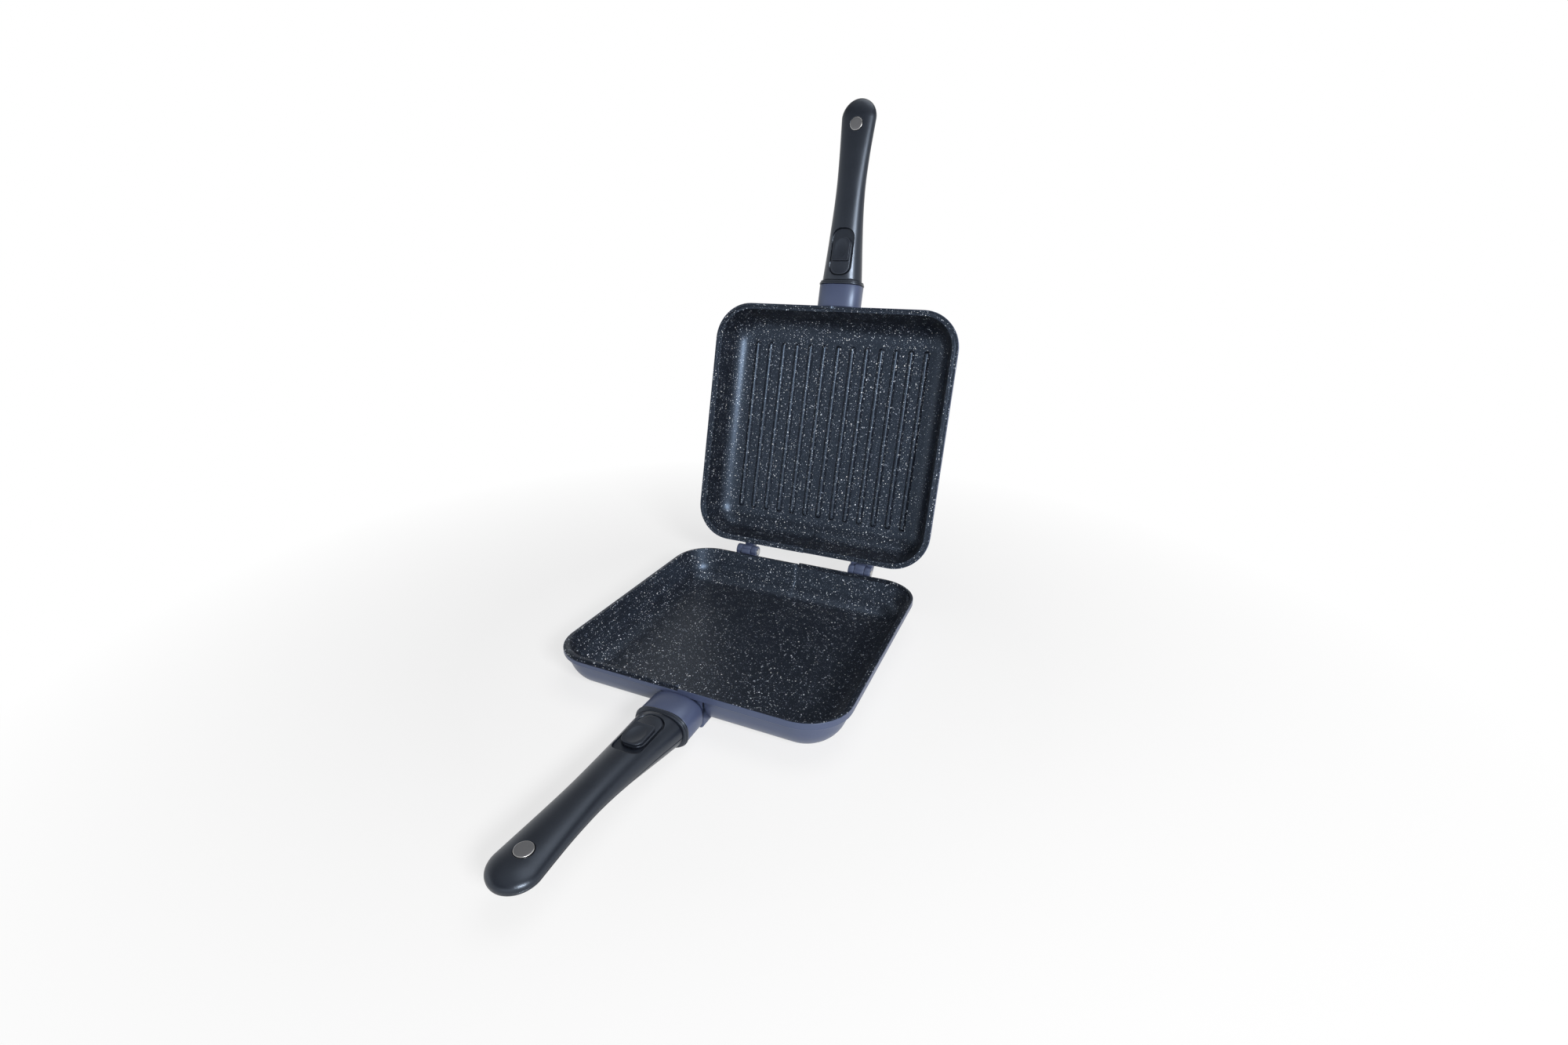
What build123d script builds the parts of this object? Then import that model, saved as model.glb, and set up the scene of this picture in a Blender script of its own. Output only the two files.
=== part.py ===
from build123d import *

import os
from math import cos, pi, radians, sin, tan

# Double-sided griddle pan: two cast pans hinged along the back edge, one with a smooth floor and
# one with a ridged floor, each with a removable handle on its front edge. The ridged pan is the
# lid and stands open against its stop. Millimetres, +Z up, origin at the centre of the flat base
# of the lower pan. The handles point to -Y and the hinge is at +Y.

# Pan castings, outside
pan_width = 250.0
pan_length = 248.0
corner_radius = 36.5
lower_depth = 33.0
upper_depth = 36.5
rim_band = 5.0  # height of the thick band under the rim
rim_overhang = 2.8  # how far the band stands out over the wall below it
wall_draft = 15.0
outer_cove = 27.0

# Pan castings, inside
rim_width = 5.5
floor_thickness = 3.5
inner_cove = 21.5

# Half lap between the two rims: an inner lip on one half and an outer lip on the other
lap_rise = 0.85
lap_gap = 0.3

# Griddle ridges in the floor of the lid
ridge_count = 13
ridge_pitch = 15.1
ridge_length = 180.0
ridge_width = 4.8
ridge_height = 1.9
ridge_end_round = 1.6

# Hinge: one fork and one tongue on each casting, so the two castings match when one is turned over
open_angle = 104.4
hinge_setback = 8.0
hinge_offset = 62.0
knuckle_radius = 6.0
tongue_width = 10.0
ear_width = 6.0
knuckle_gap = 0.3
stop_gap = 0.15
stop_height = 4.0
pin_radius = 2.0
pin_head_radius = 3.4
pin_head_height = 1.2
lug_top = 1.6  # the lugs start this far below the rim plane
lug_back = 11.0  # and this far in front of the pin, inside the rim band
lug_foot = (17.0, 19.0)  # where their underside meets the wall: in front of and below the pin
lug_shoulder = 3.0
ear_fit = 0.03
tongue_fit = 0.06

# Socket cast on the front wall
socket_half_width = 21.6
socket_half_height = 14.6
socket_middle = -17.4  # height of the socket's axis below the rim plane
socket_length = 22.0
socket_corner = 14.0
boss_half_width = 20.6
boss_drop = 27.5  # the boss runs this far down the wall, from the middle of the rim band
boss_corner = 3.0
boss_recess = 0.6  # the boss's face lies this far behind the edge of the rim
root_depth = 20.0  # the boss starts this far behind the edge of the rim, inside the wall
seat_gap = 0.3

# Steel tang, and the latch bolt that lies on it
tang_width = 15.0
tang_height = 8.0
tang_middle = -17.4
tang_start = 2.0
tang_end = 66.0
tang_wall = 1.5
tongue_end = 92.0  # the tang's flat tail reaches the first screw
fit_gap = 0.3
bolt_width = 8.0
bolt_height = 2.0
bolt_start = 6.0
bolt_end = 58.0
post_start = 46.0
post_length = 8.0
catch_start = 9.0
catch_length = 9.0
catch_height = 2.6

# Collar between socket and grip
collar_length = 1.9
collar_proud = 0.5
collar_step = 0.15  # how much smaller than the socket the step to the grip is

# Grip, seen from above: places are distances from the edge of the rim
grip_start = 26.0
grip_end = 191.5
grip_butt_width = 39.6  # at the collar
grip_waist_width = 28.8
grip_waist_place = 117.0
grip_tip_width = 33.0
grip_tip_place = 174.0

# Grip, seen from the side: a flat back that rises to the tip, and a belly under it
back_start = -2.5  # height of the back at the collar, below the rim plane
back_end = -0.3  # and where the tip begins
shoulder_round = 8.0
belly_round = 21.0  # radius of the belly across the grip
belly_radius = 497.0  # radius of the hollow along the belly
belly_crest = 172.0
belly_top = -13.4
belly_turn = 10.2  # degrees of that hollow; the belly runs straight from there to the collar

# Height of the parting line of the two shells, at distances from the pan
parting_heights = (
    (20.0, -18.6), (58.0, -15.2), (88.0, -13.4), (115.0, -10.2), (145.0, -8.3), (200.0, -8.0),
)

# Slide button in its recess
recess_start = 30.4
recess_length = 43.0
recess_width = 21.5
recess_floor = -5.0
recess_corner = 8.5
button_length = 34.6
button_width = 18.6
button_travel = 7.6
button_corner = 7.6
button_base = 1.6
step_slope = 0.6
thumb_hollow = 0.5  # how far the thumb pad is hollowed between its ends
pad_start = 13.0  # from the end of the button at the collar to the step of the thumb pad
pad_height = -0.7
pad_low = -1.7

# Spring behind the bolt, and the round tail of the bolt that pushes it
spring_radius = 2.4
spring_bore = 1.6
spring_end = 72.0
tail_length = 1.6

# Magnet near the tip
magnet_place = 167.0
magnet_radius = 5.7
magnet_height = 4.0
cap_radius = 6.4
cap_skin = 0.5
cap_bevel = 0.6
cap_face = -0.2

# Screws that hold the two grip shells
screw_places = (84.0, 136.0)
screw_radius = 1.6
screw_head_radius = 3.2
screw_head_height = 2.2
screw_sunk = 2.0
screw_top = -5.0
screw_fit = 0.05

# Length of a cut that runs on past the piece
clear = 40.0

# Where things lie, worked out from the sizes above
front = -pan_length / 2
hinge_y = pan_length / 2 + hinge_setback
lap_split = rim_width / 2
tang_top = tang_middle + tang_height / 2
bolt_bottom = tang_top + fit_gap
bolt_top = bolt_bottom + bolt_height
spring_middle = tang_top + fit_gap + spring_radius
button_start = recess_start + fit_gap
button_middle = button_start + button_length / 2

os.makedirs("parts", exist_ok=True)

# Places of the two halves: the lower pan stands on its base, and the lid is the same kind of
# casting turned over about the Y axis and swung open about the hinge.
lower_place = Location((0, 0, lower_depth))
swing_open = Location((0, hinge_y, lower_depth)) * Location((0, 0, 0), (-open_angle, 0, 0))
upper_place = swing_open * Location((0, -hinge_y, 0)) * Location((0, 0, 0), (0, 180, 0))
places = {"lower": lower_place, "upper": upper_place}


def station(distance):
    """Plane across the handle at this distance from the front rim: x across, y up."""
    return Plane(origin=(0, front - distance, 0), x_dir=(1, 0, 0), z_dir=(0, -1, 0))


def across(offset):
    """Plane across the hinge line at this x: its own x is the row's y, its own y is z."""
    return Plane(origin=(offset, hinge_y, 0), x_dir=(0, 1, 0), z_dir=(1, 0, 0))


def save(part, name, side=None):
    """Writes a finished piece, moved to its half of the pan."""
    placed = part.moved(places[side]) if side else part
    placed.label = name
    export_step(placed, "parts/" + name + ".step")


def rounded(inset, mode=Mode.ADD):
    """Outline of the pan drawn in by this much."""
    RectangleRounded(pan_width - 2 * inset, pan_length - 2 * inset, corner_radius - inset, mode=mode)


def half_section(reach, rim, side_top, side_inset, floor_z, cove):
    """Half of a dish's upright section: its mouth, a drafted wall, a cove and the floor."""
    foot_inset = side_inset + (side_top - floor_z) * tan(radians(wall_draft))
    run = cove * tan(radians(90 - wall_draft) / 2)
    lean, rise = sin(radians(wall_draft)), cos(radians(wall_draft))
    cove_top = (reach - foot_inset + run * lean, floor_z + run * rise)
    cove_end = (reach - foot_inset - run, floor_z)
    side = [(0, lap_rise), (reach - rim, lap_rise), (reach - rim, side_top)]
    if side_inset > rim:
        side.append((reach - side_inset, side_top))
    with BuildSketch() as section:
        with BuildLine():
            Polyline(*side, cove_top)
            TangentArc(cove_top, cove_end, tangent=(-lean, -rise))
            Polyline(cove_end, (0, floor_z), (0, lap_rise))
        make_face()
    return section.sketch


def dish(*sizes):
    """A drafted dish: two straight runs that cross, and four corners turned about upright axes."""
    half_x, half_y = pan_width / 2, pan_length / 2
    with BuildPart() as body:
        for plane, reach, run in ((Plane.XZ, half_x, half_y), (Plane.YZ, half_y, half_x)):
            with BuildSketch(plane):
                add(half_section(reach, *sizes))
                mirror(about=Plane.YZ)
            extrude(amount=run - corner_radius, both=True)
        for turn, sign_x, sign_y in ((0, 1, 1), (90, -1, 1), (180, -1, -1), (270, 1, -1)):
            centre = (sign_x * (half_x - corner_radius), sign_y * (half_y - corner_radius), 0)
            outward = (cos(radians(turn)), sin(radians(turn)), 0)
            with BuildSketch(Plane(origin=centre, x_dir=outward, z_dir=(outward[1], -outward[0], 0))):
                add(half_section(corner_radius, *sizes))
            revolve(axis=Axis(centre, (0, 0, 1)), revolution_arc=90)
    return body.part


# Griddle ridges: half-round bars whose ends run down in a quarter circle
ridge_bend = ((ridge_width / 2) ** 2 + ridge_height**2) / (2 * ridge_height)
with BuildPart() as ridges:
    with BuildSketch(Plane.XZ):
        with GridLocations(ridge_pitch, 0, ridge_count, 1):
            with Locations((0, ridge_height - ridge_bend)):
                Circle(ridge_bend)
    extrude(amount=ridge_length / 2, both=True)
    with BuildSketch(Plane.YZ):
        RectangleRounded(ridge_length, 2 * ridge_height, ridge_end_round)
    extrude(amount=pan_width / 2, both=True, mode=Mode.INTERSECT)

# Pan castings. Both are made with the mating rim at z = 0 and the base below.
for side, depth, ridged in (("lower", lower_depth, False), ("upper", upper_depth, True)):
    floor_z = floor_thickness - depth
    hollow = dish(rim_width, 0, rim_width, floor_z, inner_cove)
    outside = dish(0, -rim_band, rim_overhang, -depth, outer_cove)

    with BuildPart() as pan:
        add(outside)

        # Square boss on the wall, and the socket for the handle on its face
        with BuildSketch(station(-root_depth)):
            with Locations((0, -(rim_band + boss_drop) / 2)):
                RectangleRounded(2 * boss_half_width, boss_drop, boss_corner)
        extrude(amount=root_depth - boss_recess)
        with BuildSketch(station(-boss_recess)):
            with Locations((0, socket_middle)):
                RectangleRounded(2 * socket_half_width, 2 * socket_half_height, socket_corner)
        extrude(amount=socket_length + boss_recess)

        # Fork for the other casting's tongue on one side, and its own tongue on the other
        ear_place = -hinge_offset - tongue_width / 2 - knuckle_gap - ear_width
        far_ear_place = -hinge_offset + tongue_width / 2 + knuckle_gap
        tongue_place = hinge_offset - tongue_width / 2
        knuckles = ((ear_place, ear_width), (far_ear_place, ear_width), (tongue_place, tongue_width))
        for place, width in knuckles:
            with BuildSketch(across(place)):
                Circle(knuckle_radius)
                low = knuckle_radius * sin(radians(45))
                foot_y, foot_z = lug_foot
                arm = ((-lug_back, -lug_top), (-lug_shoulder, -lug_top), (low, -low))
                Polygon(*arm, (-foot_y, -foot_z), align=None)
            extrude(amount=width)
        # Stop heel on the tongue: it meets the other casting's rim band when the lid is open
        heel = Plane(
            origin=(tongue_place, hinge_y, 0),
            x_dir=(0, cos(radians(180 - open_angle)), sin(radians(180 - open_angle))),
            z_dir=(1, 0, 0),
        )
        reach = hinge_setback - stop_gap
        with BuildSketch(heel):
            Circle(reach)
            with Locations((reach / 2, stop_height / 2)):
                Rectangle(reach, stop_height, mode=Mode.INTERSECT)
            with Locations((reach / 2, -stop_height / 2)):
                Rectangle(reach, stop_height)
        extrude(amount=tongue_width)

        # The hollow comes out of all of this
        add(hollow, mode=Mode.SUBTRACT)

        # Half lap: the outer ledge is cut on the -X half, the inner ledge on the +X half
        for cut_side, outer, inner in (
            (-1, -1, lap_split + lap_gap / 2),
            (1, lap_split - lap_gap / 2, rim_width + 1),
        ):
            with BuildSketch(Plane.XY.offset(lap_rise + 1)):
                rounded(outer)
                rounded(inner, Mode.SUBTRACT)
                with Locations((cut_side * (pan_width / 2 - lap_gap / 2), 0)):
                    Rectangle(pan_width, 2 * pan_length, mode=Mode.INTERSECT)
            extrude(amount=-(2 * lap_rise + lap_gap + 1), mode=Mode.SUBTRACT)

        # Pin holes: close in the fork, running in the tongue
        for start, length, fit in (
            (ear_place - 1, far_ear_place + ear_width - ear_place + 2, ear_fit),
            (tongue_place - 1, tongue_width + 2, tongue_fit),
        ):
            with BuildSketch(across(start)):
                Circle(pin_radius + fit)
            extrude(amount=length, mode=Mode.SUBTRACT)

        # Pocket for the tang and the latch bolt, with the catch notch in its roof
        with BuildSketch(station(tang_start - seat_gap)):
            with Locations((0, tang_middle)):
                Rectangle(tang_width + 2 * fit_gap, tang_height + 2 * fit_gap)
            with Locations((0, bolt_bottom + bolt_height / 2)):
                Rectangle(bolt_width + 2 * fit_gap, bolt_height + 2 * fit_gap)
        extrude(amount=socket_length, mode=Mode.SUBTRACT)
        with BuildSketch(station(catch_start)):
            with Locations((0, bolt_top + catch_height / 2)):
                Rectangle(bolt_width + 2 * fit_gap, catch_height)
        extrude(amount=catch_length, mode=Mode.SUBTRACT)

        if ridged:
            with Locations((0, 0, floor_z)):
                add(ridges.part)

    save(pan.part, side + "_pan", side)

# Hinge pins: a steel shank through each fork, with a peened head at both ends
pin_shank = tongue_width + 2 * knuckle_gap + 2 * ear_width + 2 * ear_fit
with BuildPart() as pin:
    with BuildSketch(across(-hinge_offset - pin_shank / 2)):
        Circle(pin_radius)
    extrude(amount=pin_shank)
    for start in (-hinge_offset - pin_shank / 2 - pin_head_height, -hinge_offset + pin_shank / 2):
        with BuildSketch(across(start)):
            Circle(pin_head_radius)
        extrude(amount=pin_head_height)
    ends = pin.edges().filter_by(GeomType.CIRCLE).group_by(Axis.X)
    chamfer([ends[0], ends[-1]], length=pin_head_height / 2)
save(pin.part, "left_hinge_pin", "lower")
save(pin.part, "right_hinge_pin", "upper")


# The whole grip before it is parted. Seen from above, its sides are drawn in at a waist and its
# tip is round; the shoulders of the back are rounded; a belly, round across the grip and
# hollow along it, bounds it below.
tilt = (back_end - back_start) / (grip_tip_place - grip_start)
back = Plane(origin=(0, front - grip_start, back_start), x_dir=(1, 0, 0), z_dir=(0, tilt, 1))
belly_axis = Axis((0, front - belly_crest, belly_top - belly_radius), (1, 0, 0))
bend_y, bend_z = belly_radius * sin(radians(belly_turn)), belly_radius * cos(radians(belly_turn))
belly_start = (0, front - belly_crest + bend_y, belly_top - belly_radius + bend_z)
belly_ahead = (0, -cos(radians(belly_turn)), sin(radians(belly_turn)))

with BuildPart() as blank:
    with BuildSketch(back):
        with BuildLine():
            butt = (grip_butt_width / 2, 0)
            waist = (grip_waist_width / 2, grip_start - grip_waist_place)
            tip = (grip_tip_width / 2, grip_start - grip_tip_place)
            ThreePointArc(butt, waist, tip)
            ThreePointArc(tip, (0, grip_start - grip_end), (-tip[0], tip[1]))
            ThreePointArc((-tip[0], tip[1]), (-waist[0], waist[1]), (-butt[0], butt[1]))
            Polyline((-butt[0], 0), (-butt[0], grip_start), (butt[0], grip_start), butt)
        make_face()
    extrude(amount=-clear)
    fillet(blank.faces().sort_by(Axis.Z)[-1].edges().group_by(Axis.Y)[:-1], radius=shoulder_round)

with BuildPart() as belly:
    with BuildSketch(Plane(origin=belly_start, x_dir=(1, 0, 0), z_dir=belly_ahead)) as belly_section:
        with Locations((0, belly_round)):
            Circle(belly_round)
        with Locations((0, belly_round + clear / 2)):
            Rectangle(2 * belly_round, clear)
    extrude(amount=-belly_crest / 2)
    revolve(belly_section.sketch, axis=belly_axis, revolution_arc=belly_turn + 3)

with BuildPart() as grip:
    add(blank.part)
    add(belly.part, mode=Mode.INTERSECT)
    with BuildSketch(station(grip_start)):
        Rectangle(2 * clear, 4 * clear)
    extrude(amount=-clear, mode=Mode.SUBTRACT)
    # Channel for the tang, the bolt and the spring
    with BuildSketch(station(grip_start)):
        with Locations((0, tang_middle)):
            Rectangle(tang_width + 2 * fit_gap, tang_height + 2 * fit_gap)
    extrude(amount=tang_end + fit_gap - grip_start, mode=Mode.SUBTRACT)
    with BuildSketch(station(tang_end)):
        with Locations((0, tang_top - tang_wall / 2)):
            Rectangle(tang_width + 2 * fit_gap, tang_wall + 2 * fit_gap)
    extrude(amount=tongue_end + fit_gap - tang_end, mode=Mode.SUBTRACT)
    with BuildSketch(station(grip_start)):
        with Locations((0, bolt_bottom + bolt_height / 2)):
            Rectangle(bolt_width + 2 * fit_gap, bolt_height + 2 * fit_gap)
    extrude(amount=bolt_end + button_travel + fit_gap - grip_start, mode=Mode.SUBTRACT)
    with BuildSketch(station(bolt_end - tail_length - fit_gap)):
        with Locations((0, spring_middle)):
            Circle(spring_radius + fit_gap)
    extrude(amount=spring_end - bolt_end + tail_length + fit_gap, mode=Mode.SUBTRACT)
    # Recess for the slide button, and the slot under it for the bolt's post
    with BuildSketch(Plane.XY.offset(recess_floor)):
        with Locations((0, front - recess_start - recess_length / 2)):
            RectangleRounded(recess_width, recess_length, recess_corner)
    extrude(amount=clear, mode=Mode.SUBTRACT)
    with BuildSketch(Plane.XY.offset(bolt_bottom)):
        with Locations((0, front - post_start - (post_length + button_travel) / 2)):
            Rectangle(bolt_width + 2 * fit_gap, post_length + button_travel + 2 * fit_gap)
    extrude(amount=recess_floor - bolt_bottom, mode=Mode.SUBTRACT)
    # Seat for the magnet and its cap
    with BuildSketch(Plane.XY.offset(cap_face - cap_skin - magnet_height)):
        with Locations((0, front - magnet_place)):
            Circle(cap_radius)
    extrude(amount=clear, mode=Mode.SUBTRACT)
    # Screw holes with sunk heads from the underside
    for place in screw_places:
        with BuildSketch(Plane.XY.offset(screw_top)):
            with Locations((0, front - place)):
                Circle(screw_radius + screw_fit)
        extrude(amount=-clear, mode=Mode.SUBTRACT)

# Parting surface of the two shells, as a block that holds all that lies above it
with BuildPart() as upper_side:
    with BuildSketch(Plane.YZ.offset(-clear)):
        with BuildLine():
            edge = Spline(*[(front - s, z) for s, z in parting_heights])
            first, last = front - parting_heights[0][0], front - parting_heights[-1][0]
            Polyline(edge @ 1, (last, clear), (first, clear), edge @ 0)
        make_face()
    extrude(amount=2 * clear)

with BuildPart() as grip_top:
    add(grip.part)
    add(upper_side.part, mode=Mode.INTERSECT)

with BuildPart() as grip_bottom:
    add(grip.part)
    add(upper_side.part, mode=Mode.SUBTRACT)


def underside(distance):
    """Height of the belly's lowest line at this distance from the edge of the rim."""
    back_from_crest = max(belly_crest - distance, 0)
    if back_from_crest < bend_y:
        return belly_top - back_from_crest**2 / (2 * belly_radius)
    return belly_top - belly_radius + bend_z - (back_from_crest - bend_y) * tan(radians(belly_turn))


head_seats = [underside(place) + screw_sunk + screw_head_height for place in screw_places]
with BuildPart() as grip_bottom_bored:
    add(grip_bottom.part)
    for place, seat in zip(screw_places, head_seats):
        with BuildSketch(Plane.XY.offset(seat)):
            with Locations((0, front - place)):
                Circle(screw_head_radius + screw_fit)
        extrude(amount=-clear, mode=Mode.SUBTRACT)

with BuildPart() as screws:
    for place, seat in zip(screw_places, head_seats):
        with BuildSketch(Plane.XY.offset(seat)):
            with Locations((0, front - place)):
                Circle(screw_head_radius)
        extrude(amount=-screw_head_height)
        with BuildSketch(Plane.XY.offset(seat)):
            with Locations((0, front - place)):
                Circle(screw_radius)
        extrude(amount=screw_top - fit_gap - seat)

# Collar: a flange that covers the end of the socket, and a smaller step to the grip
collar_start = socket_length + seat_gap
with BuildPart() as collar:
    with BuildSketch(station(collar_start)):
        with Locations((0, socket_middle)):
            grown = 2 * collar_proud
            RectangleRounded(2 * socket_half_width + grown, 2 * socket_half_height + grown, socket_corner)
    extrude(amount=collar_length)
    with BuildSketch(station(collar_start + collar_length)):
        with Locations((0, socket_middle)):
            less = 2 * collar_step
            width, height = 2 * socket_half_width - less, 2 * socket_half_height - less
            RectangleRounded(width, height, socket_corner - less)
    extrude(amount=grip_start - collar_start - collar_length)
    with BuildSketch(station(collar_start)):
        with Locations((0, tang_middle)):
            Rectangle(tang_width + 2 * fit_gap, tang_height + 2 * fit_gap)
        with Locations((0, bolt_bottom + bolt_height / 2)):
            Rectangle(bolt_width + 2 * fit_gap, bolt_height + 2 * fit_gap)
    extrude(amount=grip_start - collar_start, mode=Mode.SUBTRACT)

# Tang: a pressed steel channel, open at the bottom, with a flat tail under the first screw
with BuildPart() as tang:
    with BuildSketch(station(tang_start)):
        with Locations((0, tang_middle)):
            Rectangle(tang_width, tang_height)
        with Locations((0, tang_middle - tang_wall)):
            Rectangle(tang_width - 2 * tang_wall, tang_height, mode=Mode.SUBTRACT)
    extrude(amount=tang_end - tang_start)
    with BuildSketch(station(tang_end)):
        with Locations((0, tang_top - tang_wall / 2)):
            Rectangle(tang_width, tang_wall)
    extrude(amount=tongue_end - tang_end)
    with BuildSketch(Plane.XY.offset(tang_top)):
        with Locations((0, front - screw_places[0])):
            Circle(screw_radius + screw_fit)
    extrude(amount=-tang_wall, mode=Mode.SUBTRACT)

# Latch bolt: a steel strip on the tang with a post up to the button and a tail for the spring
with BuildPart() as bolt:
    with BuildSketch(station(bolt_start)):
        with Locations((0, bolt_bottom + bolt_height / 2)):
            Rectangle(bolt_width, bolt_height)
    extrude(amount=bolt_end - bolt_start)
    with BuildSketch(Plane.XY.offset(bolt_top)):
        with Locations((0, front - post_start - post_length / 2)):
            Rectangle(bolt_width, post_length)
    extrude(amount=recess_floor + fit_gap - bolt_top)
    with BuildSketch(station(bolt_end - tail_length)):
        with Locations((0, spring_middle)):
            Circle(spring_radius)
    extrude(amount=tail_length)

# Slide button: a thin base with a raised thumb pad that slopes down to the tip
with BuildPart() as button:
    with BuildSketch(Plane.XY.offset(recess_floor + fit_gap)):
        with Locations((0, front - button_middle)):
            RectangleRounded(button_width, button_length, button_corner)
    extrude(amount=pad_height - recess_floor + clear)
    with BuildSketch(Plane.YZ.offset(-button_width)):
        with BuildLine():
            near, far = front - button_start, front - button_start - button_length
            step = near - pad_start
            base_top = recess_floor + fit_gap + button_base
            Polyline((near + 1, base_top), (step + step_slope, base_top), (step, pad_height))
            dip = (pad_height + pad_low) / 2 - thumb_hollow
            ThreePointArc((step, pad_height), ((step + far) / 2, dip), (far, pad_low))
            Polyline((far, pad_low), (far - 1, pad_low), (far - 1, clear))
            Polyline((far - 1, clear), (near + 1, clear), (near + 1, base_top))
        make_face()
    extrude(amount=2 * button_width, mode=Mode.SUBTRACT)

# Spring between the bolt and the end of its channel
with BuildPart() as spring:
    with BuildSketch(station(bolt_end + fit_gap)):
        with Locations((0, spring_middle)):
            Circle(spring_radius)
            Circle(spring_bore, mode=Mode.SUBTRACT)
    extrude(amount=spring_end - bolt_end - 2 * fit_gap)

# Magnet, and the stainless cap that covers it
with BuildPart() as magnet:
    with BuildSketch(Plane.XY.offset(cap_face - cap_skin)):
        with Locations((0, front - magnet_place)):
            Circle(magnet_radius)
    extrude(amount=-magnet_height)

with BuildPart() as cap:
    with BuildSketch(Plane.XY.offset(cap_face)):
        with Locations((0, front - magnet_place)):
            Circle(cap_radius - screw_fit)
    extrude(amount=-(cap_skin + magnet_height))
    chamfer(cap.edges().group_by(Axis.Z)[-1], length=cap_bevel / 2, length2=cap_bevel)
    with BuildSketch(Plane.XY.offset(cap_face - cap_skin)):
        with Locations((0, front - magnet_place)):
            Circle(magnet_radius + screw_fit)
    extrude(amount=-magnet_height, mode=Mode.SUBTRACT)

for side in places:
    for piece, name in (
        (grip_top, "grip_top"),
        (grip_bottom_bored, "grip_bottom"),
        (screws, "grip_screws"),
        (collar, "collar"),
        (tang, "tang"),
        (bolt, "latch_bolt"),
        (button, "button"),
        (spring, "latch_spring"),
        (magnet, "magnet"),
        (cap, "magnet_cap"),
    ):
        save(piece.part, side + "_" + name, side)
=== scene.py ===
import math

import bpy
import numpy as np
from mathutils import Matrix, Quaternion


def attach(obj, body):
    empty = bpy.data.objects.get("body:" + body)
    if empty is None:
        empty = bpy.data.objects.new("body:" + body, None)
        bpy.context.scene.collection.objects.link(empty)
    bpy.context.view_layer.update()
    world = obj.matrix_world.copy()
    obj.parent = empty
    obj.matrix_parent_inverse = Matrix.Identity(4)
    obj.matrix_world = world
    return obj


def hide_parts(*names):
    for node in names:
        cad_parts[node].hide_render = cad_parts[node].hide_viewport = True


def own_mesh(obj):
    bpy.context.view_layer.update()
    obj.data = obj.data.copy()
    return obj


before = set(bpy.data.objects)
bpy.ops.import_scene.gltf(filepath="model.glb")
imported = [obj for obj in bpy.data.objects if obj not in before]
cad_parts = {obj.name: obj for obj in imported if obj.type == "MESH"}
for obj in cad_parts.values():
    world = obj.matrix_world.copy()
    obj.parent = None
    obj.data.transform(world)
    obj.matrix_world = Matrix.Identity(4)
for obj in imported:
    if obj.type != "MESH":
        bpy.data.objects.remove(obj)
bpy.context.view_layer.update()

# Pan castings
# Two halves of pressure-cast aluminium face each other over one hinge. Each is a square dish with
# a socket for its handle in front and hinge lugs behind, all cast in one. The inside has a
# speckled non-stick coating, and the outside a sprayed grey paint.

# Each half is drawn in millimetres with its rim in the plane z = 0, its base below and its handle
# to -Y, and then takes its place: the lower one on its base, the lid turned over and swung open.
pan_width, pan_length, corner_radius = 250.0, 248.0, 36.5
lower_depth, upper_depth = 33.0, 36.5
hinge_back = 132.0
open_angle = math.radians(104.4)
front = -pan_length / 2
halves = ("lower", "upper")


def in_place(half, points):
    """A half's millimetres to the row's metres. The lid turns half round the Y axis, and then back
    about the hinge line by the open angle."""
    x, y, z = np.moveaxis(np.asarray(points, float), -1, 0)
    if half == "upper":
        x, y, z = -x, y - hinge_back, -z
        c, s = math.cos(open_angle), math.sin(open_angle)
        y, z = hinge_back + c * y + s * z, -s * y + c * z
    return np.stack([x, y, z + lower_depth], -1) / 1000


def faces_of(rows):
    """Faces of a closed skin of rows that are rings of points: one between each four neighbours,
    and one over each end row."""
    count, width = rows.shape[:2]
    index = np.arange(count * width).reshape(count, width)
    beside = np.roll(index, -1, 1)
    faces = np.stack([index[:-1], beside[:-1], beside[1:], index[1:]], -1).reshape(-1, 4).tolist()
    return faces + [index[0, ::-1].tolist(), index[-1].tolist()]


def piece(name, skins, half, finishes):
    """One object from closed skins, each given by its rows and the number of its finish, or one
    number for each face. Faces are turned outwards by the sign of the volume."""
    points, faces, marks = [], [], []
    base = 0
    for rows, mark in skins:
        placed = in_place(half, rows.reshape(-1, 3))
        polygons = faces_of(rows)
        end_faces = 2
        corners = placed[np.array(polygons[:-end_faces])[:, :3]] - placed.mean(0)
        a, b, c = (corners[:, k] for k in range(3))
        if np.einsum("ij,ij->i", a, np.cross(b, c)).sum() < 0:
            polygons = [f[::-1] for f in polygons]
        points.append(placed)
        faces += [[k + base for k in f] for f in polygons]
        marks += list(mark) if np.ndim(mark) else [mark] * len(polygons)
        base += len(placed)
    mesh = bpy.data.meshes.new(name)
    mesh.from_pydata(np.vstack(points).tolist(), [], faces)
    mesh.polygons.foreach_set("material_index", np.array(marks, np.int32))
    mesh.polygons.foreach_set("use_smooth", np.ones(len(faces), bool))
    for finish in finishes:
        mesh.materials.append(finish)
    mesh.update()
    made = bpy.data.objects.new(name, mesh)
    bpy.context.scene.collection.objects.link(made)
    return made


# The dish has drafted walls, wide coves and a thick band under the rim. The rims meet in a half
# lap, an inner lip on one side and an outer lip on the other, so that one shape fits both halves.
rim_band, rim_overhang, rim_width = 5.0, 2.8, 5.5
wall_draft = math.radians(15)
outer_cove, inner_cove, floor_thickness = 27.0, 21.5, 3.5
band_root_round, band_edge_round, edge_round = 1.2, 0.8, 0.35
lap_rise, lap_gap = 0.85, 0.3
notch_inside, notch_outside = 0.25, 0.45
straight_points, corner_steps = 41, 14
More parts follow.
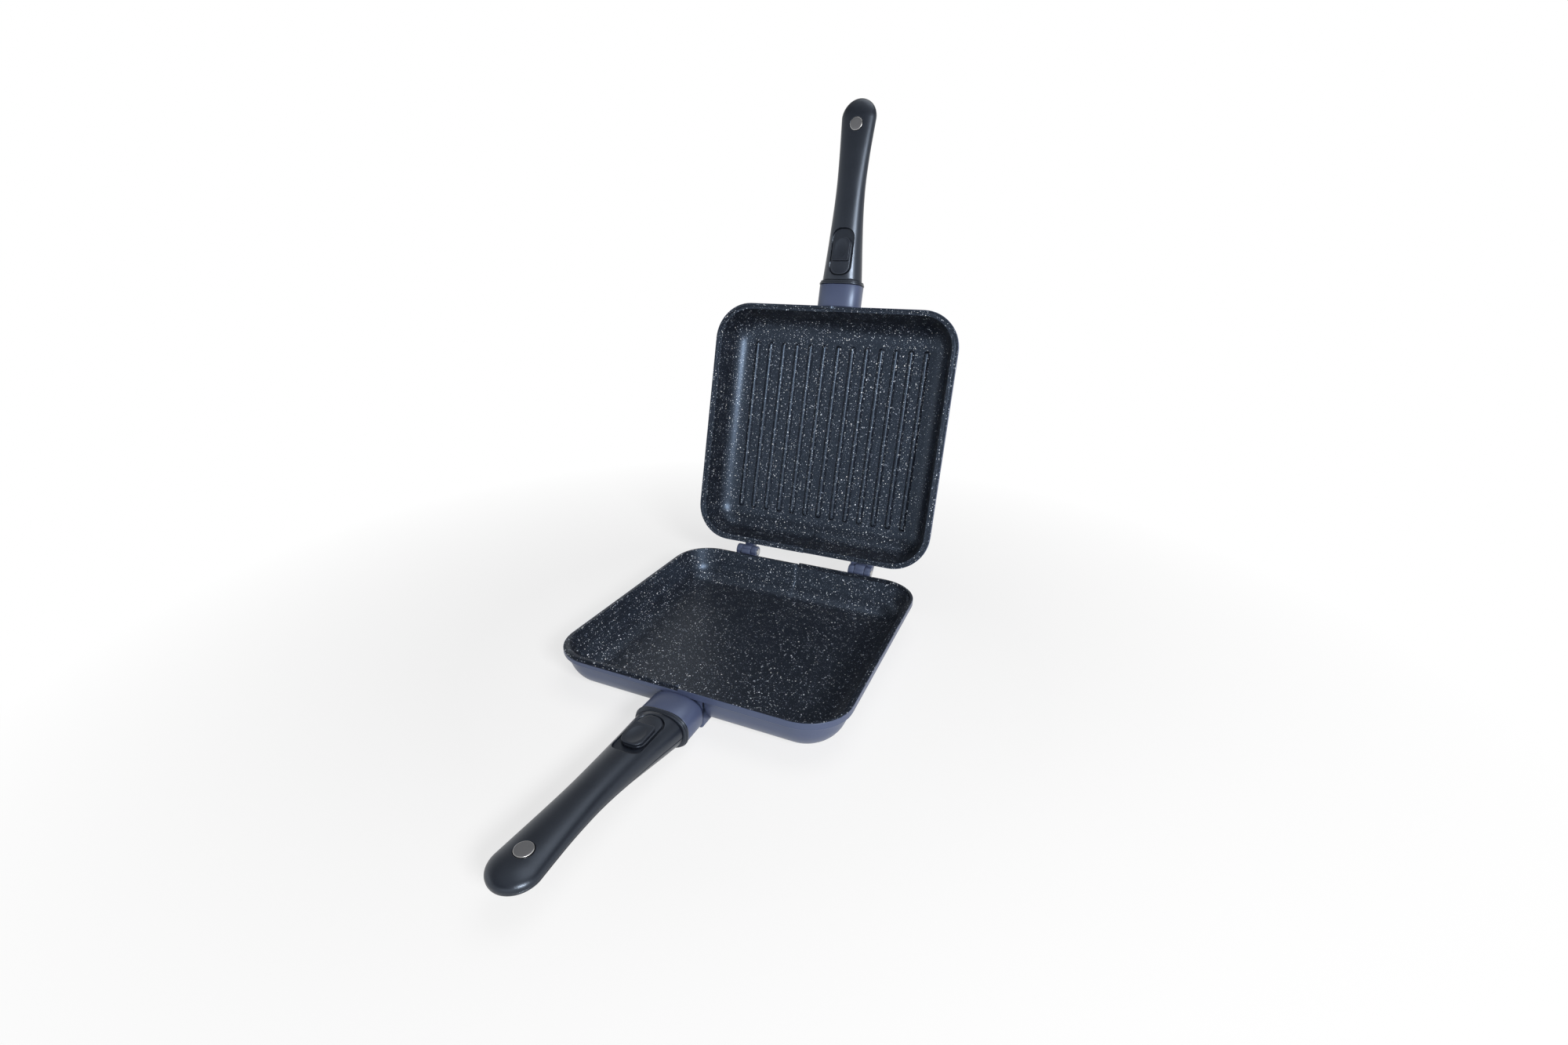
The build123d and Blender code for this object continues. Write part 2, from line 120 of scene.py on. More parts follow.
# Each bend is thirteen points. The first three shape the outer wall, the fourth the rim's outer edge
bend_steps, wall_bends, painted_bends = 12, 3, 4


def rounded_line(corners, radii, steps):
    """Points along a line through corners, each corner replaced by a bend of its own radius."""
    corners = np.asarray(corners, float)
    out = [corners[:1]]
    for before, here, after, radius in zip(corners, corners[1:], corners[2:], radii):
        one, two = before - here, after - here
        one, two = one / np.linalg.norm(one), two / np.linalg.norm(two)
        half_angle = math.acos(np.clip(one @ two, -1, 1)) / 2
        run = radius / math.tan(half_angle)
        middle = here + (one + two) / np.linalg.norm(one + two) * radius / math.sin(half_angle)
        start, end = here + one * run - middle, here + two * run - middle
        share = np.linspace(0, 1, steps + 1)[:, None]
        arc = start * (1 - share) + end * share
        arc *= radius / np.linalg.norm(arc, axis=1, keepdims=True)
        out.append(middle + arc)
    out.append(corners[-1:])
    return np.vstack(out)


def dish_profile(depth, outer_top, inner_top, split):
    """Half section from the base's edge, up the outside, over the lap and down to the floor, as
    (inset from the rim's edge, height) in millimetres. The flats beyond both ends only give the
    first and last bend their direction."""
    slope = math.tan(wall_draft)
    flat = 30.0
    foot = rim_overhang + (depth - rim_band) * slope
    inner_foot = rim_width + (depth - floor_thickness) * slope
    corners = [
        (foot + flat, -depth), (foot, -depth), (rim_overhang, -rim_band), (0, -rim_band), (0, outer_top),
        (split, outer_top), (split, inner_top), (rim_width, inner_top),
        (inner_foot, floor_thickness - depth), (inner_foot + flat, floor_thickness - depth),
    ]
    radii = [outer_cove, band_root_round, band_edge_round] + [edge_round] * 4 + [inner_cove]
    return rounded_line(corners, radii, bend_steps)[1:-1]


def pan_outline():
    """Corner centres and outward directions round the outline: a point lies at centre plus
    (corner radius less its inset) times direction. Near x = 0 lie two pairs for the lap's notch."""
    half_x, half_y = pan_width / 2 - corner_radius, pan_length / 2 - corner_radius
    along = np.linspace(-1, 1, straight_points)
    near, far = notch_inside / half_x, notch_outside / half_x
    along_x = np.sort(np.r_[along[np.abs(along) > far], -far, -near, near, far])
    turn = np.linspace(0, math.pi / 2, corner_steps + 1)[1:-1]
    # Sides as shares of the half sizes, each followed by the corner at its end
    right = np.stack([np.ones_like(along), along], 1)
    back = np.stack([-along_x, np.ones_like(along_x)], 1)
    centres, outward = [], []
    for quarter, side in enumerate((right, back, -right, -back)):
        angle = quarter * math.pi / 2
        side = side * (half_x, half_y)
        centres += [side, np.tile(side[-1], (len(turn), 1))]
        outward.append(np.tile([math.cos(angle), math.sin(angle)], (len(side), 1)))
        outward.append(np.stack([np.cos(angle + turn), np.sin(angle + turn)], 1))
    return np.vstack(centres), np.vstack(outward)


def dish_rows(depth):
    """The dish as rows round its outline. Each point's profile is the left one where x is below
    zero and the right one above, so that the lap changes sides at the middle. Between them both
    lips are low, which leaves a narrow notch where the halves pass each other."""
    centres, outward = pan_outline()
    low, high = -lap_rise - lap_gap, lap_rise
    left = dish_profile(depth, low, high, rim_width / 2 + lap_gap / 2)
    right = dish_profile(depth, high, low, rim_width / 2 - lap_gap / 2)
    notch = np.stack([(left[:, 0] + right[:, 0]) / 2, np.minimum(left[:, 1], right[:, 1])], 1)
    x = centres[None, :, :1]
    shape = np.where(x > 0, right[:, None], left[:, None])
    shape = np.where(np.abs(x) < (notch_inside + notch_outside) / 2, notch[:, None], shape)
    flat = centres[None] + (corner_radius - shape[..., :1]) * outward[None]
    return np.concatenate([flat, shape[..., 1:]], -1)


# Griddle bars on the lid's floor
ridge_count, ridge_pitch, ridge_length, ridge_width, ridge_height = 13, 15.1, 180.0, 6.4, 3.0
ridge_power, ridge_end_share = 1.15, 0.25
ridge_dip, ridge_under = 0.05, 0.4
across_points, end_points, level_points, level_from = 25, 9, 40, 1.2


def ridge_rows(middle, floor):
    """One griddle bar: across, the height is one less the squared offset, to the power 1.15, which
    is a round crown with sides at about 50 degrees; along, level, with ends that run down in a
    quarter circle. Its edges dip under the floor, and its underside lies inside the casting."""
    across = np.sin(np.linspace(-1, 1, across_points) * math.pi / 2)
    # Along the bar the unit is half its width
    half_run = ridge_length / ridge_width
    ends = 1 - np.cos(np.linspace(0, math.pi / 2, end_points))
    level = np.linspace(level_from, half_run * 2 - level_from, level_points)
    along = np.r_[ends, level, half_run * 2 - ends[::-1]] - half_run
    reach = np.clip(half_run - np.abs(along), 0, 1)
    rise = np.sqrt(np.clip(1 - (1 - reach) ** 2, 0, 1))
    crown = np.clip(1 - across**2, 0, 1) ** ridge_power
    height = rise[:, None] * crown[None] * (ridge_height + ridge_dip) - ridge_dip
    width = ridge_width / 2 * (ridge_end_share + (1 - ridge_end_share) * rise)
    x = middle + across[None] * width[:, None]
    y = np.broadcast_to(along[:, None] * ridge_width / 2, x.shape)
    top = np.stack([x, y, floor + height], -1)
    bottom = np.full((len(x), 2), floor - ridge_under)
    under = np.stack([x[:, [-1, 0]], y[:, [-1, 0]], bottom], -1)
    return np.concatenate([top, under], 1)


# Socket and boss on the front wall
socket_half_width, socket_half_height, socket_middle = 21.6, 14.6, -17.4
socket_end, socket_wall, shoulder_at, shoulder_round, neck = 22.0, 3.1, 0.6, 0.45, 1.3
# Round edge of the socket's mouth: distance past its end, and growth
mouth_round = ((-0.5, 0), (-0.15, -0.12), (0, -0.45), (0, -socket_wall))
oval_points, squareness = 96, 2.6
boss_half_width, boss_top, boss_bottom, boss_face = 20.4, -4.0, -30.0, 2.5
boss_top_round, boss_bottom_round, boss_root, root_depth = 1, 3, 6.0, 1.2
# Soft front edge of the boss: inset, and distance behind its face
boss_edge = ((0.0, 0.35), (0.1, 0.1), (0.35, 0.0))


def socket_sizes():
    """Distance from the rim, half width and half height of the socket's rings: a neck on the boss,
    a round shoulder, the straight run, and a small round at its mouth."""
    turn = np.radians([0, 22.5, 45, 67.5, 90])
    shoulder = shoulder_at + shoulder_round * (1 - np.cos(turn)), shoulder_round * (np.sin(turn) - 1)
    inside_boss = -boss_face - 1
    grown = np.vstack([
        [(inside_boss, -neck), (shoulder_at, -neck)], np.stack(shoulder, 1),
        [(socket_end + past, growth) for past, growth in mouth_round]])
    return [(d, socket_half_width + growth, socket_half_height + growth) for d, growth in grown]


def oval_rows(sizes):
    """Superellipses stood across the handle at each distance and carried into one skin: x and z,
    as shares of the half sizes and raised to the squareness, add up to one."""
    angle = np.linspace(0, 2 * math.pi, oval_points, endpoint=False)
    c, s = np.cos(angle), np.sin(angle)
    power = 2 / squareness
    wide, high = np.sign(c) * np.abs(c) ** power, np.sign(s) * np.abs(s) ** power
    return np.array([
        np.stack([half_width * wide, np.full(oval_points, front - distance),
                  half_height * high + socket_middle], 1)
        for distance, half_width, half_height in sizes])


def root_on_wall(rows, depth):
    """Moves a skin's first row back until it lies inside the dish's wall, which leans and curves."""
    profile = dish_profile(depth, -lap_rise, lap_rise, rim_width / 2)
    outside = profile[: wall_bends * (bend_steps + 1)]
    outside = outside[np.argsort(outside[:, 1])]
    rows[0, :, 1] = front + np.interp(rows[0, :, 2], outside[:, 1], outside[:, 0]) + root_depth
    return rows


def slab(outline, layers, frame_of):
    """A flat outline carried through its thickness. Each layer draws the outline in by an inset and
    lies at its own depth; frame_of puts (outline x, outline y, depth) in the casting."""
    outline = np.asarray(outline, float)
    ahead, behind = np.roll(outline, -1, 0), np.roll(outline, 1, 0)
    tangent = ahead - behind
    tangent /= np.linalg.norm(tangent, axis=1, keepdims=True)
    inward = np.stack([-tangent[:, 1], tangent[:, 0]], 1)
    area = np.sum(outline[:, 0] * ahead[:, 1] - ahead[:, 0] * outline[:, 1])
    inward *= math.copysign(1, area)
    rows = []
    for inset, depth in layers:
        flat = outline + inward * inset
        rows.append(frame_of(flat[:, 0], flat[:, 1], np.full(len(flat), depth)))
    return np.array(rows)


def closed_line(corners, radii, steps=8):
    """A closed outline with rounded corners."""
    return rounded_line([corners[-1], *corners, corners[0]], radii, steps)[1:-1]


def boss_rows(depth):
    """The boss: a block that grows out of the wall, with a soft front edge."""
    outline = closed_line(
        [(-boss_half_width, boss_top), (-boss_half_width, boss_bottom),
         (boss_half_width, boss_bottom), (boss_half_width, boss_top)],
        [boss_top_round, boss_bottom_round, boss_bottom_round, boss_top_round])
    layers = ((0.0, -boss_root), *((inset, -boss_face - behind) for inset, behind in boss_edge))
    block = slab(outline, layers, lambda x, z, distance: np.stack([x, front - distance, z], 1))
    return root_on_wall(block, depth)


# Hinge lugs on the back wall: a fork on the left, a tongue on the right, and the stop heel
knuckle_radius, hinge_offset, tongue_width, ear_width, knuckle_gap = 6.0, 62.0, 10.0, 6.0, 0.3
knuckle_start, knuckle_stop, knuckle_points = math.radians(-45), math.radians(195), 31
hinge_setback, stop_gap, stop_height = 8.0, 0.15, 4.0
# Arm from the knuckle down to the wall, as (towards the back, up) from the pin's axis
arm_points = ((-8.2, -1.9), (-11.0, -1.8), (-12.6, -4.2), (-16.6, -18.6), (-15.6, -18.4),
              (-9.5, -13.2), (-3.0, -8.2))
heel_bevel, heel_rounds = (0.87, 0.98), (0.4, 0.5, 0.6, 1.2, 0.4)
# Soft edge of a lug: inset, and distance from its side
lug_edge = ((0.5, 0.0), (0.15, 0.12), (0.0, 0.5))


def lug_outline():
    """Side view of a lug about the pin's axis: a round knuckle and an arm down to the wall."""
    turn = np.linspace(knuckle_start, knuckle_stop, knuckle_points)
    knuckle = knuckle_radius * np.stack([np.cos(turn), np.sin(turn)], 1)
    return np.vstack([knuckle, arm_points])


def heel_outline():
    """Side view of the stop heel: a bar along the knuckle, turned by the open angle."""
    reach = hinge_setback - stop_gap
    bevel = (reach * heel_bevel[0], stop_height * heel_bevel[1])
    corners = [(0, -stop_height), (reach, -stop_height), (reach, 0), bevel, (0, stop_height)]
    line = closed_line(corners, heel_rounds, 4)
    turn = math.pi - open_angle
    c, s = math.cos(turn), math.sin(turn)
    return np.stack([c * line[:, 0] - s * line[:, 1], s * line[:, 0] + c * line[:, 1]], 1)


def lugs():
    """The three knuckles of one casting and its heel, each with softened edges."""
    ear = -hinge_offset - tongue_width / 2 - knuckle_gap - ear_width
    far_ear = -hinge_offset + tongue_width / 2 + knuckle_gap
    tongue = hinge_offset - tongue_width / 2
    parts = []
    for start, width, outline in (
        (ear, ear_width, lug_outline()), (far_ear, ear_width, lug_outline()),
        (tongue, tongue_width, lug_outline()), (tongue, tongue_width, heel_outline()),
    ):
        layers = lug_edge + tuple((inset, width - depth) for inset, depth in lug_edge[::-1])
        parts.append(slab(outline, layers, lambda y, z, depth, start=start: np.stack(
            [start + depth, hinge_back + y, z], 1)))
    return parts


def finish_named(name, roughness, specular=0.5, tint=(1, 1, 1), metallic=0.0):
    """A new material: gives it, its node tree, its shader and its object coordinates."""
    made = bpy.data.materials.new(name)
    made.use_nodes = True
    tree = made.node_tree
    shader = tree.nodes["Principled BSDF"]
    shader.inputs["Roughness"].default_value = roughness
    shader.inputs["Specular IOR Level"].default_value = specular
    shader.inputs["Specular Tint"].default_value = (*tint, 1)
    shader.inputs["Metallic"].default_value = metallic
    return made, tree, shader, tree.nodes.new("ShaderNodeTexCoord").outputs["Object"]


def node(tree, kind, values=(), **settings):
    """A shader node with its settings, and its inputs by name: a socket is linked, a value is set."""
    made = tree.nodes.new(kind)
    for key, value in settings.items():
        setattr(made, key, value)
    for key, value in dict(values).items():
        if isinstance(value, bpy.types.NodeSocket):
            tree.links.new(value, made.inputs[key])
        else:
            made.inputs[key].default_value = value
    return made


def calculate(tree, operation, *values, kind="ShaderNodeMath"):
    """A sum on sockets and values by one shader node: gives the result's socket."""
    return node(tree, kind, dict(enumerate(values)), operation=operation).outputs[0]


def map_range(tree, value, start, end, to_start, to_end):
    """Carries a value from one range to another, held at both ends: gives the result's socket."""
    return node(tree, "ShaderNodeMapRange", {
        "Value": value, "From Min": start, "From Max": end, "To Min": to_start, "To Max": to_end,
    }).outputs["Result"]


def two_tones(tree, place, scale, detail, dark, pale, roughness=0.5):
    """Cloudy noise of this many clouds to the metre between two colours: gives the colour and the
    noise."""
    cloud = node(tree, "ShaderNodeTexNoise", {
        "Vector": place, "Scale": scale, "Detail": detail, "Roughness": roughness}).outputs["Fac"]
    mixed = node(tree, "ShaderNodeMixRGB", {"Fac": cloud, "Color1": (*dark, 1), "Color2": (*pale, 1)})
    return mixed.outputs["Color"], cloud


def grain(tree, shader, place, scale, height):
    """A fine bump on the surface, of this many cells to the metre and this height in metres."""
    noise = node(tree, "ShaderNodeTexNoise", {"Vector": place, "Scale": scale, "Detail": 3.0})
    bump = node(tree, "ShaderNodeBump", {
        "Height": noise.outputs["Fac"], "Distance": height, "Strength": 1.0})
    tree.links.new(bump.outputs["Normal"], shader.inputs["Normal"])


def flecks(tree, place, cell, least, most):
    """Flecks in cells of this size: a cell's fleck is as large as its first random number says, and
    its outline wanders. Gives how much of a fleck is here, and the cell's second random number."""
    wander, warp_share, softness, bare_share = 0.1, 1.6, 0.06, 0.35
    warp = node(tree, "ShaderNodeTexNoise", {"Vector": place, "Scale": warp_share / cell, "Detail": 2.0})
    middle = calculate(tree, "SUBTRACT", warp.outputs["Color"], (0.5, 0.5, 0.5), kind="ShaderNodeVectorMath")
    pull = node(tree, "ShaderNodeVectorMath", {0: middle, "Scale": wander * cell}, operation="SCALE")
    where = calculate(tree, "ADD", place, pull.outputs[0], kind="ShaderNodeVectorMath")
    cells = node(tree, "ShaderNodeTexVoronoi", {"Vector": where, "Scale": 1 / cell, "Randomness": 1.0})
    lot = node(tree, "ShaderNodeSeparateColor", {"Color": cells.outputs["Color"]})
    size = map_range(tree, lot.outputs["Red"], bare_share, 1.0, least, most)
    edge = calculate(tree, "SUBTRACT", size, cells.outputs["Distance"])
    return map_range(tree, edge, 0.0, softness, 0.0, 1.0), lot.outputs["Green"]


coating, tree, shader, place = finish_named(
    "stone_coating", roughness=0.36, specular=0.60, tint=(0.54, 0.72, 1))
layer, _ = two_tones(tree, place, scale=70.0, detail=5.0, roughness=0.6,
                     dark=(0.0040, 0.0050, 0.0080), pale=(0.0080, 0.0098, 0.0150))
for cell, least, most, dark, pale in (
    # cell, smallest and largest fleck as shares of it, and the flecks' darkest and palest
    (0.0007, -0.06, 0.36, (0.06, 0.07, 0.11), (0.50, 0.60, 0.78)),
    (0.0014, -0.10, 0.36, (0.55, 0.63, 0.80), (0.90, 0.96, 1.0)),
    (0.0026, -0.24, 0.28, (0.80, 0.88, 1.0), (1.0, 1.0, 1.0)),
):
    amount, lot = flecks(tree, place, cell, least, most)
    tint = node(tree, "ShaderNodeMixRGB", {"Fac": lot, "Color1": (*dark, 1), "Color2": (*pale, 1)})
    mixed = node(tree, "ShaderNodeMixRGB", {"Fac": amount, "Color1": layer, "Color2": tint.outputs["Color"]})
    layer = mixed.outputs["Color"]
tree.links.new(layer, shader.inputs["Base Color"])
grain(tree, shader, place, scale=900.0, height=0.00006)

paint, tree, shader, place = finish_named(
    "grey_paint", roughness=0.38, specular=0.80, tint=(0.66, 0.80, 1))
shade, _ = two_tones(tree, place, scale=45.0, detail=6.0, roughness=0.65,
                     dark=(0.055, 0.069, 0.130), pale=(0.064, 0.080, 0.149))
tree.links.new(shade, shader.inputs["Base Color"])
grain(tree, shader, place, scale=1400.0, height=0.00003)

for half, depth, body in (("lower", lower_depth, "lower_half"), ("upper", upper_depth, "lid")):
    rows = dish_rows(depth)
    # The paint covers the base, and ends one step short of the end of the rim's outer round
    painted = painted_bends * (bend_steps + 1) - 2
    band = np.repeat(np.where(np.arange(len(rows) - 1) < painted, 0, 1), rows.shape[1])
    parts = [(rows, np.r_[band, 0, 1])]
    if half == "upper":
        for k in range(ridge_count):
            middle = (k - (ridge_count - 1) / 2) * ridge_pitch
            parts.append((ridge_rows(middle, floor_thickness - depth), 1))
    parts += [(oval_rows(socket_sizes()), 0), (boss_rows(depth), 0)]
    parts += [(rows, 0) for rows in lugs()]
    pan = piece(half + "_casting", parts, half, (paint, coating))
    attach(pan, body)
    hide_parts(half + "_pan")

# Grip
# Two moulded phenolic shells that meet in a parting line along the sides. The upper one has the
# recess of the slide button and the seat of the magnet; the lower one is a belly.
grip_sizes = np.array([
    # distance, half width, top, bottom
    (26.0, 19.8, -2.7, -31.3), (40.0, 18.6, -2.2, -29.2), (55.0, 17.3, -1.7, -26.6),
    (70.0, 16.2, -1.3, -23.7), (85.0, 15.2, -1.0, -20.9), (100.0, 14.5, -0.8, -18.6),
    (115.0, 14.2, -0.6, -16.8), (130.0, 14.5, -0.5, -15.5), (145.0, 15.1, -0.4, -14.7),
    (160.0, 16.0, -0.4, -14.4), (174.0, 16.9, -0.4, -14.4),
])
grip_start, tip_start = grip_sizes[[0, -1], 0]
grip_end, tip_steps, tip_hole = 191.4, 25, 0.002
grip_squareness, tip_power = 2.12, 0.8
# Height of the parting line at each distance
parting = np.array([
    (20.0, -18.6), (58.0, -15.2), (88.0, -13.4), (115.0, -10.2), (145.0, -8.3), (200.0, -8.0)])
groove, groove_reach, groove_tilt, seam_limit = 0.22, 0.7, 0.35, 0.9
end_draw, end_reach = 0.55, 1.2
recess_start, recess_length, recess_width, recess_corner, recess_floor = 30.4, 43.0, 21.5, 8.5, -5.5
magnet_place, seat_radius, seat_depth = 167.0, 6.1, 1.2
screw_places, head_radius, well_depth = (84.0, 136.0), 3.2, 2.3
# Each of these hollows has its wall between two distances from its outline
recess_edge, seat_edge, well_edge = (-0.15, 0.55), (-0.1, 0.3), (-0.05, 0.4)
# Rows as (from, to, count), closest at the recess and the seat, and at the screw wells below
top_runs = ((28, 29.8, 5), (30, 75, 181), (76, 159, 60), (160, 173.8, 50))
bottom_runs = ((28, 79, 40), (80, 88, 33), (90, 130, 30), (132, 140, 33), (142, 173.8, 24))
top_points, bottom_points = 150, 84


def smooth_through(table, places):
    """A smooth curve through the table's points: each span is a cubic with the slopes of its
    neighbours."""
    x, y = table[:, 0], table[:, 1:]
    slope = np.gradient(y, x, axis=0)
    k = np.clip(np.searchsorted(x, places) - 1, 0, len(x) - 2)
    width = (x[k + 1] - x[k])[:, None]
    t = ((places - x[k])[:, None]) / width
    a, b = 2 * t**3 - 3 * t**2 + 1, t**3 - 2 * t**2 + t
    c, d = -2 * t**3 + 3 * t**2, t**3 - t**2
    return a * y[k] + b * width * slope[k] + c * y[k + 1] + d * width * slope[k + 1]


def grip_sections(places):
    """Half width, middle and half height at each distance. Past the last size the tip closes in a
    quarter of an ellipse."""
    sizes = smooth_through(grip_sizes, np.minimum(places, tip_start))
    past = np.clip((places - tip_start) / (grip_end - tip_start), 0, 1)
    shrink = np.sqrt(np.clip(1 - past**2, 0, 1))
    middle = (sizes[:, 1] + sizes[:, 2]) / 2
    half_height = (sizes[:, 1] - sizes[:, 2]) / 2
    return sizes[:, 0] * shrink, middle, half_height * shrink**tip_power


def stadium_distance(x, s, start, length, width, corner):
    """Signed distance to a rounded rectangle in plan: below zero inside."""
    dx = np.abs(x) - (width / 2 - corner)
    ds = np.abs(s - start - length / 2) - (length / 2 - corner)
    outside = np.hypot(np.maximum(dx, 0), np.maximum(ds, 0))
    return outside + np.minimum(np.maximum(dx, ds), 0) - corner


def ramp(value, low, high):
    """From 0 at low to 1 at high, smooth at both ends."""
    t = np.clip((value - low) / (high - low), 0, 1)
    return t * t * (3 - 2 * t)


def rows_along(runs):
    """Distances of a shell's rows: the soft edge at the collar, the runs, and the tip, where they
    draw together as its curve steepens."""
    tip = np.cos(np.linspace(0, math.pi / 2, tip_steps + 1))[::-1][1:-1]
    return np.r_[
        grip_start + np.array([0, 0.15, 0.5, end_reach]), np.hstack([np.linspace(*run) for run in runs]),
        tip_start + (grip_end - tip_start) * tip, grip_end - tip_hole]


def grip_shell(upper):
    """A shell as rows along the grip. Each row runs from parting line to parting line over the
    superellipse, and ends in a small inward turn, so that the joint shows as a fine groove."""
    places = rows_along(top_runs if upper else bottom_runs)
    half_width, middle, half_height = grip_sections(places)
    # The collar end is drawn in a little, as a moulded edge is
    draw_in = end_draw * (1 - ramp(places, grip_start, grip_start + end_reach)) ** 2
    half_width, half_height = half_width - draw_in, half_height - draw_in
    seam = smooth_through(parting, places)[:, 0]
    seam = np.clip(seam, middle - half_height * seam_limit, middle + half_height * seam_limit)
    power = 2 / grip_squareness
    seam_sine = np.clip((seam - middle) / half_height, -seam_limit, seam_limit)
    seam_angle = np.arcsin(np.sign(seam_sine) * np.abs(seam_sine) ** (1 / power))
    share = np.linspace(0, 1, top_points if upper else bottom_points)[None]
    side = 1 if upper else -1
    angle = seam_angle[:, None] * (1 - 2 * share) + side * math.pi * share
    c, s = np.cos(angle), np.sin(angle)
    x = half_width[:, None] * np.sign(c) * np.abs(c) ** power
    z = middle[:, None] + half_height[:, None] * np.sign(s) * np.abs(s) ** power
    # Even out the spacing of the points round each row
    run = np.concatenate([np.zeros((len(places), 1)), np.cumsum(np.hypot(np.diff(x), np.diff(z)), 1)], 1)
    even = run[:, -1:] * share
    x = np.array([np.interp(e, r, v) for e, r, v in zip(even, run, x)])
    z = np.array([np.interp(e, r, v) for e, r, v in zip(even, run, z)])
    # The edge at the parting line turns inwards
    edge = np.minimum(even, run[:, -1:] - even)
    tuck = groove * (1 - ramp(edge, 0, groove_reach))
    x -= np.sign(x) * tuck
    z += side * tuck * groove_tilt
    y = np.broadcast_to(places[:, None], x.shape)
    if upper:
        inside = stadium_distance(x, y, recess_start, recess_length, recess_width, recess_corner)
        lip = ramp(inside, *recess_edge)
        z = recess_floor * (1 - lip) + z * lip
        seat = np.hypot(x, y - magnet_place) - seat_radius
        z -= seat_depth * (1 - ramp(seat, *seat_edge))
    else:
        for place in screw_places:
            well = np.hypot(x, y - place) - head_radius
            z += well_depth * (1 - ramp(well, *well_edge)) * (z < middle[:, None])
    return np.stack([x, front - y, z], -1)


moulded, tree, shader, place = finish_named(
    "moulded_black", roughness=0.32, specular=0.66, tint=(0.70, 0.82, 1))
black, cloud = two_tones(tree, place, scale=30.0, detail=4.0,
                         dark=(0.0060, 0.0075, 0.0120), pale=(0.0085, 0.0105, 0.0160))
tree.links.new(black, shader.inputs["Base Color"])
tree.links.new(map_range(tree, cloud, 0.3, 0.7, 0.28, 0.37), shader.inputs["Roughness"])
grain(tree, shader, place, scale=1500.0, height=0.00004)

for half in halves:
    for upper, word in ((True, "grip_top"), (False, "grip_bottom")):
        shell = piece(half + "_" + word + "_shell", [(grip_shell(upper), 0)], half, (moulded,))
        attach(shell, half + "_handle")
        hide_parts(half + "_" + word)

# Collar
# A moulded ring between socket and grip: a flange a little larger than the socket, a groove and
# a lower step against the grip.
collar_sizes = (
    # distance, half width, half height
    (22.3, 20.5, 13.5), (22.3, 21.9, 14.9), (22.5, 22.1, 15.1), (23.5, 22.1, 15.1), (23.9, 21.95, 14.95),
    (24.1, 21.5, 14.5), (24.25, 21.2, 14.2), (24.5, 21.1, 14.1), (24.75, 21.35, 14.4),
    (25.4, 21.35, 14.4), (25.75, 21.1, 14.15), (26.0, 20.4, 13.5), (26.0, 17.0, 10.0),
)
for half in halves:
    ring = piece(half + "_collar_ring", [(oval_rows(collar_sizes), 0)], half, (moulded,))
    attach(ring, half + "_handle")
    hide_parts(half + "_collar")

# Slide button
# A moulded slider in its recess: a thin foot, and a narrower thumb pad that is scooped out and
# ends towards the pan in a ridge and a step. It draws the latch bolt back.
foot_start, foot_length, foot_width, foot_corner = 30.7, 34.6, 18.9, 8.0
foot_top, foot_low, foot_crown, foot_rings = -3.2, -5.3, 1.1, 14
curl_height, curl_gap = 0.5, 4
pad_start, pad_end, pad_width, pad_step_round, pad_tip_round = 43.2, 65.1, 16.8, 1.5, 6.2
pad_high, pad_low, pad_root, pad_rings, pad_points = -0.75, -1.7, 1.4, 26, 140
scoop_middle, scoop_reach, scoop_depth = 55.0, (6.5, 9.0), 0.85
step_ridge_height, step_ridge_at, step_ridge_spread = 0.3, 0.9, 0.8
# Soft edges from the rim of each plate inwards: inset, and drop below the top
foot_edge = ((0, 0.4), (0.12, 0.12), (0.4, 0))
pad_edge = ((0, 0.45), (0.08, 0.15), (0.3, 0.03), (0.6, 0))


def drawn_in(outline, edge, rings):
    """Plan of a plate's rows: its side's foot, its soft edge, and then the outline shrunk to its
    middle in rings."""
    insets = (0, *(inset for inset, drop in edge))
    layers = slab(outline, [(inset, 0.0) for inset in insets], lambda x, s, depth: np.stack([x, s], 1))
    middle = layers[-1].mean(0)
    last_ring = 0.004
    shrink = np.append(1 - np.linspace(0, 1, rings + 1)[1:-1], last_ring)
    return np.vstack([layers, middle + (layers[-1] - middle) * shrink[:, None, None]])


def plate(plan, height, edge, low):
    """A plate's rows from its plan and its top's height, with the soft edge and a side down to its
    low face."""
    height[0] = low
    for row, (inset, drop) in enumerate(edge, 1):
        height[row] -= drop
    return np.stack([plan[..., 0], front - plan[..., 1], height], -1)


def foot_rows():
    """The button's foot: a rounded plate, crowned across, whose pan end curls up a little."""
    half_w, half_l = foot_width / 2, foot_length / 2
    corners = [(-half_w, -half_l), (half_w, -half_l), (half_w, half_l), (-half_w, half_l)]
    outline = closed_line(corners, [foot_corner] * 4, 14) + (0, foot_start + half_l)
    plan = drawn_in(outline, foot_edge, foot_rings)
    curl_end = pad_start - curl_gap
    curl = curl_height * np.clip((curl_end - plan[..., 1]) / (curl_end - foot_start), 0, 1) ** 2
    height = foot_top + curl - foot_crown * (plan[..., 0] / half_w) ** 2
    return plate(plan, height, foot_edge, foot_low)


